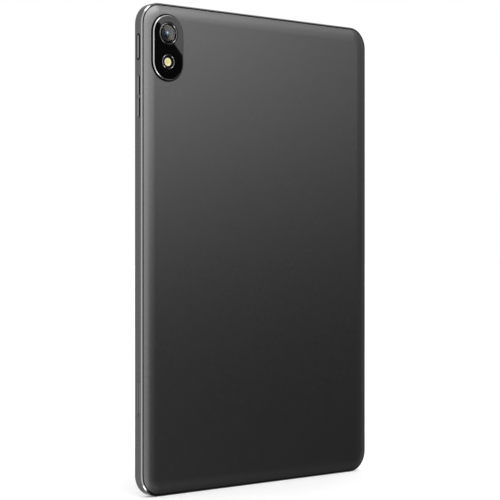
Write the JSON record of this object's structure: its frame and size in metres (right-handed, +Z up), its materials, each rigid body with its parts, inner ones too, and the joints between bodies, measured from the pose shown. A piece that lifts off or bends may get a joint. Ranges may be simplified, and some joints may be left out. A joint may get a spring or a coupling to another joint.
{
  "type": "tablet computer",
  "caption": "Flat slate-shaped computer with a glass touch display on the front, a metal back, a raised rear camera island, edge keys and a pull-out card tray.",
  "frame": {"origin": "middle of the bottom short edge: on the body's mid-thickness plane, level with the lowest point", "axes": "+Z up along the long side, +Y out of the display, -Y out of the back cover; the keys and the card tray are on the -X side"},
  "size_m": [0.1744, 0.0091, 0.2786],
  "materials": {
    "body_metal": "satin anodised, dark grey",
    "polished_bevel": "bright-cut, anodised dark grey",
    "front_glass": "black-backed polished glass",
    "island_glass": "black-backed polished glass",
    "lens_glass": "coated optical glass",
    "lens_black": "matt black",
    "flash_lens": "milky moulded lens",
    "led_yellow": "phosphor coating",
    "panel": "display stack, switched off",
    "reflector": "white reflector in a thin tray",
    "gasket": "matt",
    "adhesive": "foam tape",
    "strip_white": "pull strip",
    "flex": "polyimide film over copper",
    "board": "solder mask",
    "chips": "moulded packages",
    "shield": "tinned steel",
    "steel": "satin stainless",
    "black_plastic": "moulded, fine texture",
    "cell": "laminated pouch in a dark wrap",
    "graphite": "graphite sheet",
    "mesh": "fine woven mesh, blackened"
  },
  "bodies": {
    "tablet_body": {"mid_frame": "body_metal", "rear_cover": "body_metal", "cover_adhesive": "adhesive", "cover_glass": "front_glass", "display_gasket": "gasket", "display_adhesive": "adhesive", "lcd_panel": "panel", "backlight_unit": "reflector", "display_flex": "flex", "camera_bezel": "polished_bevel", "camera_window": "island_glass", "lens_ring": "polished_bevel", "lens_window": "lens_glass", "rear_camera_module": "lens_black", "rear_camera_flex": "flex", "flash_ring": "polished_bevel", "flash_lens": "flash_lens", "flash_led": "led_yellow", "flash_board": "board", "front_camera_module": "lens_black", "front_camera_lens": "lens_glass", "light_sensor": "chips", "key_switches": "steel", "side_key_flex": "flex", "side_key_bracket": "steel", "card_reader": "shield", "main_board": "board", "board_chips": "chips", "board_shields": "shield", "board_connectors": "black_plastic", "heat_spreader": "graphite", "battery_cell_inner": "cell", "battery_cell_outer": "cell", "battery_adhesive": "strip_white", "battery_board": "board", "battery_flex": "flex", "speaker_top_left": "black_plastic", "speaker_top_right": "black_plastic", "speaker_bottom_left": "black_plastic", "speaker_bottom_right": "black_plastic", "speaker_meshes": "mesh", "usb_shell": "steel", "usb_tongue": "black_plastic", "charge_board": "board", "link_flex": "flex", "microphones": "steel", "antenna_carriers": "black_plastic", "antenna_foils": "flex", "antenna_cables": "black_plastic", "frame_screws": "steel"},
    "power_key": {"power_button": "body_metal"},
    "volume_key": {"volume_rocker": "body_metal"},
    "card_tray": {"sim_tray": "body_metal"},
    "eject_rod": {"ejector_rod": "steel"},
    "eject_lever": {"ejector_lever": "steel"},
    "focus_group": {"rear_lens_barrel": "lens_black", "rear_lens_elements": "lens_glass"}
  },
  "joints": [
    {"name": "power_press", "type": "slide", "parent": "tablet_body", "child": "power_key", "axis": [1, 0, 0], "range_m": [0, 0.00025], "stiffness_N_per_m": 6000},
    {"name": "volume_rock", "type": "hinge", "parent": "tablet_body", "child": "volume_key", "pos_m": [-0.0849, -0.00005, 0.2252], "axis": [0, 1, 0], "range_deg": [-1.2, 1.2], "stiffness_Nm_per_rad": 0.4},
    {"name": "tray_pull", "type": "slide", "parent": "tablet_body", "child": "card_tray", "axis": [-1, 0, 0], "range_m": [0, 0.0275]},
    {"name": "eject_push", "type": "slide", "parent": "tablet_body", "child": "eject_rod", "axis": [1, 0, 0], "range_m": [0, 0.0024]},
    {"name": "eject_turn", "type": "hinge", "parent": "tablet_body", "child": "eject_lever", "pos_m": [-0.0572, -0.00045, 0.0553], "axis": [0, -1, 0], "range_deg": [0, 17.3]},
    {"name": "focus_travel", "type": "slide", "parent": "tablet_body", "child": "focus_group", "axis": [0, -1, 0], "range_m": [0, 0.00025], "stiffness_N_per_m": 100}
  ],
  "couplings": [
    {"joint": "eject_turn", "follows": "eject_push", "rad_per_m": 125}
  ]
}
